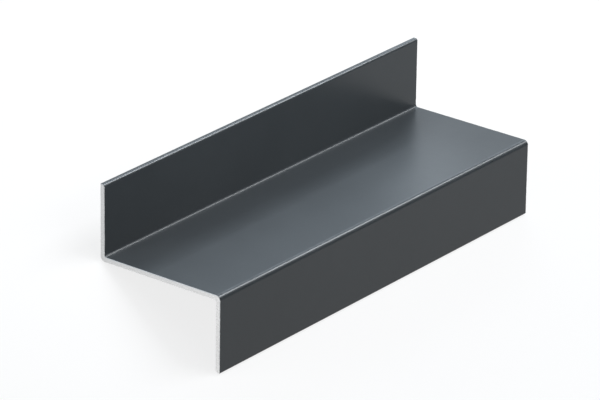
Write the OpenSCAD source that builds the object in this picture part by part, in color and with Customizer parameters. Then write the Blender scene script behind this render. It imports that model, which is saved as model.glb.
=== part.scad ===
// Aluminium z-profile: an extruded section with a web between an upper and a lower flange,
// powder-coated and sawn to length. The section lies in X and Z, with its web level, and the
// length runs along Y. It is the same turned half round its middle where both flanges are equal.
//
// The wall is drawn as slices along its whole length, with their end corners chamfered. The
// slices are pushed straight along the web and the flanges and turned round the bends and the
// edges of the tips, so the chamfer runs all the way round both sawn ends.

/* [Section] */
// Width of the web, over the outer faces of both flanges
web_w = 55; // [24:0.5:200]
// Height of the upper flange, from the underside of the web to the tip
upper_flange_h = 30; // [12:0.5:120]
// Depth of the lower flange, from the upper face of the web to the tip
lower_flange_h = 30; // [12:0.5:120]
// Thickness of the wall
wall_t = 2; // [1:0.1:4]
// Radius inside both bends
bend_inner_r = 1.1; // [0.3:0.1:4]
// Radius outside both bends
bend_outer_r = 1.8; // [0.5:0.1:5]

/* [Length] */
// Length between the two sawn ends
length = 185; // [40:1:3000]

/* [Edges] */
// Radius of the long edge of each tip on the flange's inner face
tip_inner_r = 0.9; // [0.3:0.05:1.8]
// Radius of the long edge of each tip on the flange's outer face, the crisper of the two
tip_outer_r = 0.3; // [0.15:0.05:1]
// Chamfer round both sawn ends, as a deburring tool leaves it
deburr = 0.2; // [0.05:0.05:0.4]

/* [Hidden] */
$fn = 48;

// The wall limits the rounds of a tip, and those limit the chamfer that runs round them
inner_tip = min(tip_inner_r, 0.5 * wall_t);
outer_tip = min(tip_outer_r, 0.8 * inner_tip);
end_c = min(deburr, 0.8 * outer_tip);

// The straight part of each wall starts where the round inside the bend ends. The round
// outside the bend ends a little before that.
straight = wall_t + bend_inner_r;
outer_r = min(bend_outer_r, straight - 0.1);

// Centres of the rounds that reach furthest, as [x, z], with the web's underside at z = 0 and
// the upper flange's outer face at x = 0
upper_bend = [outer_r, outer_r];
lower_bend = [web_w, wall_t] - upper_bend;
upper_tip = [outer_tip, upper_flange_h - outer_tip];
lower_tip = [web_w, wall_t] - [outer_tip, lower_flange_h - outer_tip];
toe = [web_w, wall_t] - [wall_t - inner_tip, lower_flange_h - inner_tip];

// Unheld, the profile tips over until it lies on its upper bend and on the toe, the inner edge
// of its lower tip. rest_roll is the slope of the line that touches both rounds from below.
rest_span = toe - upper_bend;
rest_roll = -atan2(rest_span[1], rest_span[0]) - asin((outer_r - inner_tip) / norm(rest_span));

function rolled(point) = [
    point[0] * cos(rest_roll) - point[1] * sin(rest_roll),
    point[0] * sin(rest_roll) + point[1] * cos(rest_roll)
];

rest_left = rolled(upper_tip)[0] - outer_tip;
rest_right = max(rolled(lower_tip)[0] + outer_tip, rolled(lower_bend)[0] + outer_r);
rest_floor = rolled(upper_bend)[1] - outer_r;

// Slice through a wall from face to face, chamfered at the ends of both
module wall_slice() {
    polygon([
        [end_c, 0],
        [wall_t - end_c, 0],
        [wall_t, end_c],
        [wall_t, length - end_c],
        [wall_t - end_c, length],
        [end_c, length],
        [0, length - end_c],
        [0, end_c]
    ]);
}

// Slice from a line inside the wall to one face, chamfered at the ends of that face alone
module skin_slice(inside, face) {
    c = face > inside ? end_c : -end_c;
    polygon([
        [inside, 0],
        [face - c, 0],
        [face, end_c],
        [face, length - end_c],
        [face - c, length],
        [inside, length]
    ]);
}

// Pushes a slice straight up from a height
module raised(from, to) {
    translate([0, 0, from])
        linear_extrude(height = to - from)
            children();
}

// Pushes a slice straight along X. Its zero line lies at the height top, and the rest below.
module pushed(from, to, top) {
    translate([from, 0, top])
        rotate([0, 90, 0])
            linear_extrude(height = to - from)
                children();
}

// Turns a slice through 90 degrees round the centre [x, z]. It starts at the angle from, which
// is 0 on the +X side, 90 below, 180 on the -X side and 270 above.
module turned(centre, from) {
    translate([centre[0], 0, centre[1]])
        rotate([-90, 0, 0])
            rotate([0, 0, from])
                rotate_extrude(angle = 90)
                    children();
}

// Flange that stands on its bend, with its outer face at x = 0 and its tip at z = height
module flange(height) {
    round_z = height - inner_tip;
    raised(straight, round_z)
        wall_slice();
    turned([wall_t - inner_tip, round_z], 270)
        skin_slice(0, inner_tip);
    // the flat of the tip
    translate([wall_t - inner_tip, 0, round_z])
        rotate([0, -90, 0])
            linear_extrude(height = wall_t - inner_tip - outer_tip)
                skin_slice(0, inner_tip);
    raised(round_z, height - outer_tip)
        skin_slice(outer_tip, 0);
    turned([outer_tip, height - outer_tip], 180)
        skin_slice(0, outer_tip);
}

// Bend at the foot of a flange: what lies inside its outer faces and outside its inner round
module bend() {
    intersection() {
        union() {
            turned(upper_bend, 90)
                skin_slice(0, outer_r);
            raised(outer_r, straight)
                skin_slice(straight, 0);
            pushed(outer_r, straight, straight)
                skin_slice(0, straight);
        }
        turned([straight, straight], 90)
            skin_slice(2 * straight, bend_inner_r);
    }
}

// The whole section with its web level
module section() {
    flange(upper_flange_h);
    bend();
    pushed(straight, web_w - straight, wall_t)
        wall_slice();
    translate([web_w, 0, wall_t])
        rotate([0, 180, 0]) {
            bend();
            flange(lower_flange_h);
        }
}

// One solid, lying as it comes to rest
module z_profile() {
    color([0.22, 0.24, 0.26])
        translate([-(rest_left + rest_right) / 2, -length / 2, -rest_floor])
            rotate([0, -rest_roll, 0])
                section();
}

z_profile();
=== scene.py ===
"""Looks of an extruded aluminium z-profile: a satin powder coat and two bare sawn ends.

The section is drawn level and in millimetres, with its web in X, its flanges in Z and the
length along Y from the near sawn end. place then rolls it and moves it into the row frame,
where the profile lies as it comes to rest. Everything else is in metres, in the row frame.
"""
import math

import bpy
from mathutils import Matrix, Vector, noise


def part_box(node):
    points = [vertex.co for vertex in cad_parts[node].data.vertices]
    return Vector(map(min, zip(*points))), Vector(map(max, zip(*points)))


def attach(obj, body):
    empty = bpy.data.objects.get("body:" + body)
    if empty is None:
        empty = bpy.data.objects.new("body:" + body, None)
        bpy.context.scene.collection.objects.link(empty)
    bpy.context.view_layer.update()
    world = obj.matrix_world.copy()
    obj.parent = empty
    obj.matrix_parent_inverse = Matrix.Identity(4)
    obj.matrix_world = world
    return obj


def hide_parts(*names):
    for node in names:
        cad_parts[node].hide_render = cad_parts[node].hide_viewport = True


MM = 0.001

# --- Section, in mm, as the solid has it -----------------------------------------------------
WEB_W = 55.0
FLANGE_H = 30.0
WALL_T = 2.0
BEND_INNER_R = 1.1
BEND_OUTER_R = 1.8
TIP_INNER_R = 0.9
TIP_OUTER_R = 0.3
# The straight part of each wall starts where the round inside the bend ends
STRAIGHT = WALL_T + BEND_INNER_R

# --- Sawn ends, in mm ------------------------------------------------------------------------
DEBURR = 0.2
DEBURR_UNEVEN = 0.05
# Assumed, because the coat's cut edge is too fine to show in the photograph
COAT_T = 0.08
SAW_RELIEF = 0.02
# How many waves the unevenness has in each mm, along the edge and on the sawn face
EDGE_WAVES = 0.6
FACE_WAVES = 1.02
# Seeds of the unevenness, for the near and the far end
EDGE_SEEDS = (1.0, 7.0)
FACE_SEEDS = (3.0, 9.0)

# --- Mesh steps ------------------------------------------------------------------------------
BEND_STEPS = 12
TIP_INNER_STEPS = 6
TIP_OUTER_STEPS = 3
FACE_STEP = 1.2
LENGTH_STEPS = 36
EASE = 0.05

# --- Painted highlights on the arrises -------------------------------------------------------
# The photograph has a bright line along each arris. It may be light on the small round. Here it
# is
# a painted highlight: the coat is drawn lighter and more metallic there, about as strong as the
# lines in the photograph are.
# Place of the painted highlight on a round, in degrees from the level line through the round's
# centre
HIGHLIGHT_ANGLE = 52.0
# How far the painted highlight reaches from the arris, in mm, and how strong it is
TIP_HIGHLIGHT = {"reach": 0.28, "highlight": 1.0}
BEND_HIGHLIGHT = {"reach": 0.42, "highlight": 0.44}
# The painted highlight starts to fade at this distance from the near end, in mm, down to this
# share
HIGHLIGHT_FADES_AT = 130.0
HIGHLIGHT_LEAST = 0.3

# --- Colours, linear -------------------------------------------------------------------------
COAT_DARK = (0.0405, 0.0465, 0.0510, 1.0)
COAT_LIGHT = (0.0475, 0.0545, 0.0595, 1.0)
COAT_SPECK = (0.075, 0.085, 0.094, 1.0)
# Painted highlight on the arrises: a lighter and more metallic coat
COAT_HIGHLIGHT = (0.212, 0.222, 0.232, 1.0)
HIGHLIGHT_METALLIC = 0.35
# Sawn aluminium from painted shade to painted light
SAWN_SHADED = (0.56, 0.565, 0.57, 1.0)
SAWN_LIT = (0.79, 0.79, 0.785, 1.0)
SAWN_SPECK = (0.42, 0.42, 0.42, 1.0)
BEVEL_LIGHT = (0.88, 0.885, 0.89, 1.0)
BEVEL_DARK = (0.66, 0.67, 0.68, 1.0)

# --- Saw marks -------------------------------------------------------------------------------
# Middle of the saw blade, below and in front of the profile as it lies, in mm
BLADE_CENTRE = (60.0, 0.0, -150.0)
TOOTH_MARK = 0.30
# Painted light: the sawn face goes from shaded to lit over this range of X, in m,
# as in the photograph, where the difference is light and not tone.
PAINTED_LIGHT_RANGE = (-0.035, 0.035)

# --- Floor -----------------------------------------------------------------------------------
FLOOR_REACH = 3.0
FLOOR_WHITE = 0.18
FLOOR_GLOW = 0.80

# --- Light -----------------------------------------------------------------------------------
WHITE = (1.0, 1.0, 1.0)
FAINTLY_COOL = (0.97, 1.0, 1.03)
COOL = (0.88, 1.0, 1.11)
# The strips stand round the profile's long axis, behind the middle of the profile
STRIP_RADIUS = 1.2
STRIP_MIDDLE = 1.2
STRIP_LENGTH = 1.8
# Strength of the surroundings at the left, and on the right from this part of X onwards
WORLD_LEFT = 0.58
WORLD_RIGHT = 0.08
WORLD_TURN = 0.2

# --- Camera, seen from the middle of the level web, in degrees and mm ------------------------
CAMERA_AZIMUTH = 37.79
CAMERA_ELEVATION = 23.34
CAMERA_ROLL = 0.834
CAMERA_DISTANCE = 1796.0
CAMERA_ASIDE = (7.51, -0.51)
LENS_MM = 293.4

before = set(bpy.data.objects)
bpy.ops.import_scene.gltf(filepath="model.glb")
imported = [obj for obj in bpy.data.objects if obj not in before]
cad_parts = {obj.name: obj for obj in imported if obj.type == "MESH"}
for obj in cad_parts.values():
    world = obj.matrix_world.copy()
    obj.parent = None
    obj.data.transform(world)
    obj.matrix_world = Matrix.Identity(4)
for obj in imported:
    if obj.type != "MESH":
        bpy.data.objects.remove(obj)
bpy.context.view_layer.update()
low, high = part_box("z_profile")
LENGTH = (high.y - low.y) / MM


def unit(angle):
    """Unit vector [x, z] at an angle in degrees."""
    return Vector((math.cos(math.radians(angle)), math.sin(math.radians(angle))))


def half_turned(point):
    """The same place on the other half of the section, which is the first half turned round."""
    return Vector((WEB_W, WALL_T)) - point


# --- Pose ------------------------------------------------------------------------------------
# Centres of the rounds outside and inside the upper bend, and on the upper tip, as [x, z]
bend_outer = Vector((BEND_OUTER_R, BEND_OUTER_R))
bend_inner = Vector((STRAIGHT, STRAIGHT))
tip_inner = Vector((WALL_T - TIP_INNER_R, FLANGE_H - TIP_INNER_R))
tip_outer = Vector((TIP_OUTER_R, FLANGE_H - TIP_OUTER_R))

# At rest the line that touches the upper bend and the lower tip's inner edge lies on the floor.
span = half_turned(tip_inner) - bend_outer
REST_ROLL = -math.atan2(span.y, span.x) - math.asin((BEND_OUTER_R - TIP_INNER_R) / span.length)
roll = Matrix.Rotation(-REST_ROLL, 4, "Y")

# The section is the same turned half round its middle, so that middle is the box's middle.
middle = Vector((WEB_W / 2, LENGTH / 2, WALL_T / 2))
place = (
    Matrix.Translation((low + high) / 2)
    @ roll
    @ Matrix.Scale(MM, 4)
    @ Matrix.Translation(-middle)
)


# --- Section outline -------------------------------------------------------------------------
def steps(start, end, step):
    """Even places from start to end, with one extra close to each end that keeps flats flat."""
    count = max(1, round(abs(end - start) / step))
    ease = math.copysign(EASE, end - start)
    inside = [start + (end - start) * k / count for k in range(1, count)]
    return [start, start + ease] + inside + [end - ease, end]


def turn(start, end, count, ends=False):
    """Even angles from start to end, with or without those two."""
    places = range(count + 1) if ends else range(1, count)
    return [start + (end - start) * k / count for k in places]


def stations(inset):
    """Pairs of points on the two faces of the wall, from the upper tip to the lower one."""
    half = []
    for z in steps(tip_inner.y, STRAIGHT, FACE_STEP):
        half.append((Vector((WALL_T - inset, z)), Vector((inset, z))))
    outside = [Vector((inset, BEND_OUTER_R + EASE))]
    for angle in turn(180, 270, BEND_STEPS, ends=True):
        outside.append(bend_outer + (BEND_OUTER_R - inset) * unit(angle))
    outside.append(Vector((BEND_OUTER_R + EASE, inset)))
    for angle, point in zip(turn(180, 270, len(outside) + 1), outside):
        half.append((bend_inner + (BEND_INNER_R + inset) * unit(angle), point))
    web = []
    for x in steps(STRAIGHT, WEB_W - STRAIGHT, FACE_STEP):
        web.append((Vector((x, WALL_T - inset)), Vector((x, inset))))
    return half + web + [(half_turned(b), half_turned(a)) for a, b in reversed(half)]


def tip(inset):
    """Points over the upper tip, from its inner face to its outer one, without the first."""
    top = FLANGE_H - inset
    points = [
        tip_inner + (TIP_INNER_R - inset) * unit(angle)
        for angle in turn(0, 90, TIP_INNER_STEPS)
    ]
    points += [Vector((x, top)) for x in (tip_inner.x, tip_inner.x - EASE, tip_outer.x + EASE)]
    for angle in turn(90, 180, TIP_OUTER_STEPS, ends=True):
        points.append(tip_outer + (TIP_OUTER_R - inset) * unit(angle))
    points.append(Vector((inset, tip_outer.y - EASE)))
    return points


def outline(inset):
    """Closed outline: front face down, over the lower tip, back face up, over the upper tip."""
    pairs = stations(inset)
    upper = tip(inset)
    lower = [half_turned(point) for point in upper]
    front = [pair[0] for pair in pairs]
    back = [pair[1] for pair in pairs]
    return front + lower[::-1] + back[::-1] + upper[::-1]


# --- Painted highlights on the arrises -------------------------------------------------------
# One tip and one bend, with their painted highlight. The other two are the same turned half
# round.
arrises = [
    (tip_inner + TIP_INNER_R * unit(HIGHLIGHT_ANGLE), TIP_HIGHLIGHT),
    (half_turned(bend_outer) + BEND_OUTER_R * unit(HIGHLIGHT_ANGLE), BEND_HIGHLIGHT),
]


def highlight_share(point, y):
    """Share of the painted highlight at a place: 1 on an arris, 0 away from all, less at the far
    end.
    """
    most = 0.0
    for arris, painted_highlight in arrises:
        for side in (point, half_turned(point)):
            most = max(most, painted_highlight["highlight"] * (1 - (side - arris).length / painted_highlight["reach"]))
    faded = max(0.0, (y - HIGHLIGHT_FADES_AT) / (LENGTH - HIGHLIGHT_FADES_AT))
    return most * (1 - (1 - HIGHLIGHT_LEAST) * faded)


# --- Mesh ------------------------------------------------------------------------------------
# Material slots of the mesh
COAT, SAWN, BEVEL = range(3)


def uneven(x, z, waves, seed):
    """Smooth value from about -1 to 1 that changes with the place on the section."""
    return 2 * noise.noise(Vector((x * waves, z * waves, seed)))


def near(depth):
    """Y of a place at a depth under the near sawn end."""
    return depth


def far(depth):
    """Y of a place at a depth under the far sawn end."""
    return LENGTH - depth


class ProfileMesh:
    """The whole profile as one closed mesh, built from rings of vertices round the section."""

    def __init__(self):
        self.vertices = []
        self.faces = []
        self.slots = []
        self.skin = outline(0)

    def ring(self, points, heights):
        """Adds a ring of section points, each at its own Y, and returns its vertex numbers."""
        first = len(self.vertices)
        self.vertices += [Vector((point.x, y, point.y)) for point, y in zip(points, heights)]
        return list(range(first, len(self.vertices)))

    def bridge(self, ring_a, ring_b, slot):
        """Joins two rings with a band of faces."""
        for k in range(len(ring_a)):
            self.faces.append((ring_a[k - 1], ring_a[k], ring_b[k], ring_b[k - 1]))
            self.slots.append(slot)

    def end_outlines(self, seed):
        """Edges of the sawn face, of the coat and of the skin, as section points and depths."""
        cuts = [DEBURR + DEBURR_UNEVEN * uneven(p.x, p.y, EDGE_WAVES, seed) for p in self.skin]
        sawn = [p.lerp(q, cut / DEBURR) for p, q, cut in zip(self.skin, outline(DEBURR), cuts)]
        return [
            (sawn, [0.0] * len(cuts)),
            (outline(COAT_T), [cut - COAT_T for cut in cuts]),
            (self.skin, cuts),
        ]

    def body(self):
        """Deburred edges and skin between the two sawn faces. Returns all rings, near to far."""
        rings = [
            self.ring(points, [near(depth) for depth in depths])
            for points, depths in self.end_outlines(EDGE_SEEDS[0])
        ]
        for k in range(1, LENGTH_STEPS):
            rings.append(self.ring(self.skin, [LENGTH * k / LENGTH_STEPS] * len(self.skin)))
        for points, depths in reversed(self.end_outlines(EDGE_SEEDS[1])):
            rings.append(self.ring(points, [far(depth) for depth in depths]))
        self.bridge(rings[0], rings[1], BEVEL)
        for ring_a, ring_b in zip(rings[1:-1], rings[2:-1]):
            self.bridge(ring_a, ring_b, COAT)
        self.bridge(rings[-2], rings[-1], BEVEL)
        return rings

    def sawn_face(self, ring, y_of_depth, flip, seed):
        """Fills a sawn end with a fine grid across the wall that carries the saw's relief."""
        pair_count = len(stations(0))
        tip_count = len(tip(0))
        columns = tip_count + 1
        front = ring[:pair_count]
        lower = ring[pair_count:pair_count + tip_count]
        back = ring[pair_count + tip_count:2 * pair_count + tip_count][::-1]
        upper = ring[2 * pair_count + tip_count:][::-1]
        rows = [[front[0]] + upper + [back[0]]]
        for a, b in zip(front, back):
            row = [a]
            for c in range(1, columns):
                point = self.vertices[a].lerp(self.vertices[b], c / columns)
                relief = max(0.0, 0.5 + 0.5 * uneven(point.x, point.z, FACE_WAVES, seed))
                row.append(len(self.vertices))
                self.vertices.append(Vector((point.x, y_of_depth(SAW_RELIEF * relief), point.z)))
            rows.append(row + [b])
        rows.append([front[-1]] + lower + [back[-1]])
        for row_a, row_b in zip(rows, rows[1:]):
            for c in range(columns):
                quad = [row_a[c], row_a[c + 1], row_b[c + 1], row_b[c]]
                corners = [v for k, v in enumerate(quad) if v != quad[k - 1]]
                self.faces.append(tuple(corners if flip else corners[::-1]))
                self.slots.append(SAWN)

    def finished(self):
        """The Blender mesh, in its place, with its slots, crisp edges and painted highlight
        share.
        """
        rings = self.body()
        self.sawn_face(rings[0], near, True, FACE_SEEDS[0])
        self.sawn_face(rings[-1], far, False, FACE_SEEDS[1])
        mesh = bpy.data.meshes.new("z_profile_finished")
        mesh.from_pydata([place @ vertex for vertex in self.vertices], [], self.faces)
        for polygon, slot in zip(mesh.polygons, self.slots):
            polygon.material_index = slot
            polygon.use_smooth = True
        mark_sharp(mesh, rings[:3] + rings[-3:])
        # Share of the painted highlight, a lighter and more metallic coat, at each vertex
        painted_highlight = mesh.attributes.new("painted_highlight", "FLOAT", "POINT")
        for k, vertex in enumerate(self.vertices):
            painted_highlight.data[k].value = highlight_share(Vector((vertex.x, vertex.z)), vertex.y)
        mesh.validate()
        mesh.update()
        return mesh


def mark_sharp(mesh, rings):
    """Keeps the edges along the given rings crisp."""
    on_ring = {vertex: number for number, ring in enumerate(rings) for vertex in ring}
    sharp = mesh.attributes.new("sharp_edge", "BOOLEAN", "EDGE")
    for edge in mesh.edges:
        a, b = edge.vertices
        if a in on_ring and on_ring[a] == on_ring.get(b):
            sharp.data[edge.index].value = True


# --- Nodes -----------------------------------------------------------------------------------
class Graph:
    """A node tree, and short ways to wire the common nodes."""

    def __init__(self, owner):
        owner.use_nodes = True
        self.nodes = owner.node_tree.nodes
        self.links = owner.node_tree.links

    def add(self, kind):
        return self.nodes.new("ShaderNode" + kind)

    def find(self, kind):
        return next(node for node in self.nodes if node.type == kind)

    def feed(self, socket, value):
        """Sets an input, or links it where the value is another node's output."""
        if isinstance(value, bpy.types.NodeSocket):
            self.links.new(value, socket)
        else:
            socket.default_value = value

    def split(self, vector):
        """Outputs X, Y and Z of a vector."""
        node = self.add("SeparateXYZ")
        self.links.new(vector, node.inputs[0])
        return node.outputs

    def math(self, operation, first, second):
        node = self.add("Math")
        node.operation = operation
        self.feed(node.inputs[0], first)
        self.feed(node.inputs[1], second)
        return node.outputs[0]

    def remap(self, value, old, new):
        """Maps the old range onto the new one, and clamps it there."""
        node = self.add("MapRange")
        self.feed(node.inputs["Value"], value)
        node.inputs["From Min"].default_value, node.inputs["From Max"].default_value = old
        node.inputs["To Min"].default_value, node.inputs["To Max"].default_value = new
        return node.outputs["Result"]


class Finish(Graph):
    """A material with its Principled shader. Its patterns keep their size and place in space."""

    def __init__(self, name):
        self.material = bpy.data.materials.new(name)
        super().__init__(self.material)
        self.shader = self.find("BSDF_PRINCIPLED")
        self.place = self.add("TexCoord").outputs["Object"]

    def noise(self, size, detail=2.0):
        """Cloudy value about 0.5, with features of a size in mm."""
        node = self.add("TexNoise")
        self.links.new(self.place, node.inputs["Vector"])
        node.inputs["Scale"].default_value = 1 / (size * MM)
        node.inputs["Detail"].default_value = detail
        return node.outputs["Fac"]

    def arcs(self, centre, size):
        """Uneven arcs about a centre in mm, a size apart in mm."""
        away = self.add("VectorMath")
        away.operation = "DISTANCE"
        self.links.new(self.place, away.inputs[0])
        away.inputs[1].default_value = [c * MM for c in centre]
        node = self.add("TexNoise")
        node.noise_dimensions = "1D"
        self.links.new(away.outputs["Value"], node.inputs["W"])
        node.inputs["Scale"].default_value = 1 / (size * MM)
        return node.outputs["Fac"]

    def mix(self, factor, first, second):
        """Blend of two colours."""
        node = self.add("Mix")
        node.data_type = "RGBA"
        self.feed(node.inputs["Factor"], factor)
        self.feed(node.inputs["A"], first)
        self.feed(node.inputs["B"], second)
        return node.outputs["Result"]

    def relief(self, height, depth, under=None):
        """Bump of a depth in mm, over another one."""
        node = self.add("Bump")
        node.inputs["Distance"].default_value = depth * MM
        self.feed(node.inputs["Height"], height)
        if under:
            self.links.new(under, node.inputs["Normal"])
        return node.outputs["Normal"]

    def set(self, name, value):
        self.feed(self.shader.inputs[name], value)


# --- Materials -------------------------------------------------------------------------------
def powder_coat():
    """Satin anthracite powder coat: orange peel, fine grain, cloudy tone and painted highlights
    on the arrises.
    """
    coat = Finish("satin_powder_coat")
    cloud = coat.noise(size=36, detail=3)
    grain = coat.noise(size=0.24)
    peel = coat.noise(size=1.4, detail=1)
    tone = coat.mix(coat.remap(cloud, old=(0.3, 0.7), new=(0, 1)), COAT_DARK, COAT_LIGHT)
    speckled = coat.mix(coat.remap(grain, old=(0.35, 0.75), new=(0, 0.22)), tone, COAT_SPECK)
    # Painted highlight: the coat turns lighter and more metallic along the arrises, patchy along
    # them
    attribute = coat.add("Attribute")
    attribute.attribute_name = "painted_highlight"
    patchy = coat.remap(coat.noise(size=9, detail=3), old=(0.3, 0.6), new=(0.65, 1))
    highlight_mask = coat.math("MULTIPLY", attribute.outputs["Fac"], patchy)
    highlight = coat.remap(highlight_mask, old=(0, 0.8), new=(0, 1))
    coat.set("Base Color", coat.mix(highlight, speckled, COAT_HIGHLIGHT))
    coat.set("Metallic", coat.remap(highlight, old=(0, 1), new=(0, HIGHLIGHT_METALLIC)))
    gloss = coat.math("ADD", cloud, coat.noise(size=3.5))
    coat.set("Roughness", coat.remap(gloss, old=(0.6, 1.4), new=(0.285, 0.335)))
    coat.set("IOR", 1.38)
    coat.set("Normal", coat.relief(grain, 0.0012, under=coat.relief(peel, 0.004)))
    return coat.material


def sawn_aluminium():
    """Bare aluminium as the saw leaves it: arcs of the blade's teeth, speckle and streaks, with
    painted light that makes it lighter along X.
    """
    sawn = Finish("sawn_aluminium")
    tooth = sawn.arcs(BLADE_CENTRE, TOOTH_MARK)
    speckle = sawn.noise(size=0.5, detail=3)
    blotch = sawn.noise(size=7)
    # Painted light: the sawn face is drawn lighter along X, as if lit more there
    painted_light = sawn.remap(sawn.split(sawn.place)["X"], old=PAINTED_LIGHT_RANGE, new=(0, 1))
    tone = sawn.mix(painted_light, SAWN_SHADED, SAWN_LIT)
    fine = sawn.math("MULTIPLY", speckle, 0.6)
    mottle = sawn.math("ADD", fine, sawn.math("MULTIPLY", tooth, 0.4))
    marks = sawn.remap(mottle, old=(0.36, 0.64), new=(0.55, 0))
    sawn.set("Base Color", sawn.mix(marks, tone, SAWN_SPECK))
    sawn.set("Metallic", 1.0)
    gloss = sawn.math("ADD", blotch, speckle)
    sawn.set("Roughness", sawn.remap(gloss, old=(0.7, 1.3), new=(0.38, 0.54)))
    sawn.set("Normal", sawn.relief(speckle, 0.012, under=sawn.relief(tooth, 0.02)))
    return sawn.material


def deburred_aluminium():
    """Bright narrow bevel that the deburring tool burnishes round a sawn end."""
    bevel = Finish("deburred_aluminium")
    nicks = bevel.noise(size=0.7)
    dull = bevel.remap(nicks, old=(0.4, 0.7), new=(0, 1))
    bevel.set("Base Color", bevel.mix(dull, BEVEL_LIGHT, BEVEL_DARK))
    bevel.set("Metallic", 1.0)
    bevel.set("Roughness", bevel.remap(nicks, old=(0.3, 0.7), new=(0.26, 0.40)))
    bevel.set("Normal", bevel.relief(nicks, 0.01))
    return bevel.material


def add_object(name, data):
    """New object in the scene."""
    thing = bpy.data.objects.new(name, data)
    bpy.context.scene.collection.objects.link(thing)
    return thing


profile = add_object("coated_z_profile", ProfileMesh().finished())
# In the order of COAT, SAWN and BEVEL
for material in (powder_coat(), sawn_aluminium(), deburred_aluminium()):
    profile.data.materials.append(material)
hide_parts("z_profile")
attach(profile, "root")


# --- Floor -----------------------------------------------------------------------------------
def glowing_white():
    """Pale matt white that takes shadows, and glows to the camera and in reflections."""
    material = bpy.data.materials.new("white_floor")
    graph = Graph(material)
    graph.nodes.remove(graph.find("BSDF_PRINCIPLED"))
    diffuse = graph.add("BsdfDiffuse")
    diffuse.inputs["Color"].default_value = (FLOOR_WHITE, FLOOR_WHITE, FLOOR_WHITE, 1.0)
    ray = graph.add("LightPath").outputs
    mirrored = graph.math("MAXIMUM", ray["Is Glossy Ray"], ray["Is Transmission Ray"])
    seen = graph.math("MAXIMUM", ray["Is Camera Ray"], mirrored)
    glow = graph.add("Emission")
    graph.feed(glow.inputs["Strength"], graph.math("MULTIPLY", seen, FLOOR_GLOW))
    both = graph.add("AddShader")
    graph.links.new(diffuse.outputs[0], both.inputs[0])
    graph.links.new(glow.outputs[0], both.inputs[1])
    graph.links.new(both.outputs[0], graph.find("OUTPUT_MATERIAL").inputs["Surface"])
    return material


def make_floor():
    """Plain square floor that the profile lies on."""
    mesh = bpy.data.meshes.new("floor")
    signs = ((-1, -1), (1, -1), (1, 1), (-1, 1))
    corners = [(x * FLOOR_REACH, y * FLOOR_REACH, 0) for x, y in signs]
    mesh.from_pydata(corners, [], [(0, 1, 2, 3)])
    mesh.materials.append(glowing_white())
    add_object("floor", mesh)


make_floor()


# --- Light -----------------------------------------------------------------------------------
def softbox(name, centre, facing, size, brightness, colour=WHITE):
    """Soft box at a place, unseen by the camera, with its size across and along it.

    A mirror would show one with a brightness of 1 as plain white.
    """
    data = bpy.data.lights.new(name, "AREA")
    data.shape = "RECTANGLE"
    data.size, data.size_y = size
    data.energy = brightness * math.pi * size[0] * size[1]
    data.color = colour
    back = -Vector(facing).normalized()
    across = Vector((0, 1, 0)).cross(back).normalized()
    axes = Matrix((across, back.cross(across), back)).transposed()
    lamp = add_object(name, data)
    lamp.matrix_world = Matrix.Translation(centre) @ axes.to_4x4()
    lamp.visible_camera = False


def strip(name, angle, width, brightness, colour=WHITE):
    """Long soft box behind the profile and parallel to it.

    angle and width are in degrees about the profile: 0 is right, 90 above and 180 left.
    """
    side = unit(angle)
    out = Vector((side.x, 0, side.y))
    across = 2 * STRIP_RADIUS * math.tan(math.radians(width / 2))
    centre = STRIP_RADIUS * out + Vector((0, STRIP_MIDDLE, 0))
    softbox(name, centre, -out, (across, STRIP_LENGTH), brightness, colour)


strip("overhead", angle=96, width=22, brightness=9.5, colour=FAINTLY_COOL)
strip("left", angle=150, width=16, brightness=4.7, colour=COOL)
strip("right", angle=62, width=14, brightness=1.0)
# Close over the web, towards the upper flange
softbox("card", (0.02, 0.0, 0.15), facing=(-0.9, 0.0, -0.4), size=(0.10, 0.24), brightness=1.8)
# Behind the far end on the left, for the paler spot on the web
softbox(
    "spot", (-0.10, 0.168, 0.047), facing=(0.24, -0.25, -0.06), size=(0.03, 0.03),
    brightness=1.6, colour=COOL,
)
# For the near sawn end
softbox("front", (-0.6, -1.8, 0.35), facing=(0.3, 1.0, -0.1), size=(0.7, 1.2), brightness=9.4)


def make_world():
    """Pale surroundings on the left that dim towards the right."""
    world = bpy.data.worlds.new("studio")
    bpy.context.scene.world = world
    graph = Graph(world)
    x = graph.split(graph.add("TexCoord").outputs["Generated"])["X"]
    background = graph.find("BACKGROUND")
    background.inputs["Color"].default_value = (*COOL, 1.0)
    strength = graph.remap(x, old=(-1.0, WORLD_TURN), new=(WORLD_LEFT, WORLD_RIGHT))
    graph.feed(background.inputs["Strength"], strength)


make_world()


# --- Camera ----------------------------------------------------------------------------------
def make_camera():
    """Camera as in the photograph, turned with the profile as it lies."""
    azimuth = math.radians(CAMERA_AZIMUTH)
    elevation = math.radians(CAMERA_ELEVATION)
    back = Vector((
        math.sin(azimuth) * math.cos(elevation),
        -math.cos(azimuth) * math.cos(elevation),
        math.sin(elevation),
    ))
    level_right = Vector((math.cos(azimuth), math.sin(azimuth), 0))
    right = Matrix.Rotation(math.radians(CAMERA_ROLL), 3, back) @ level_right
    up = back.cross(right)
    aim = Vector((WEB_W / 2, LENGTH / 2, 0)) - CAMERA_ASIDE[0] * right - CAMERA_ASIDE[1] * up
    eye = place @ (aim + CAMERA_DISTANCE * back)
    axes = Matrix((right, up, back)).transposed()
    data = bpy.data.cameras.new("camera")
    data.lens = LENS_MM
    camera = add_object("camera", data)
    camera.matrix_world = Matrix.Translation(eye) @ roll @ axes.to_4x4()
    bpy.context.scene.camera = camera


make_camera()

bpy.context.scene.view_settings.view_transform = "Standard"
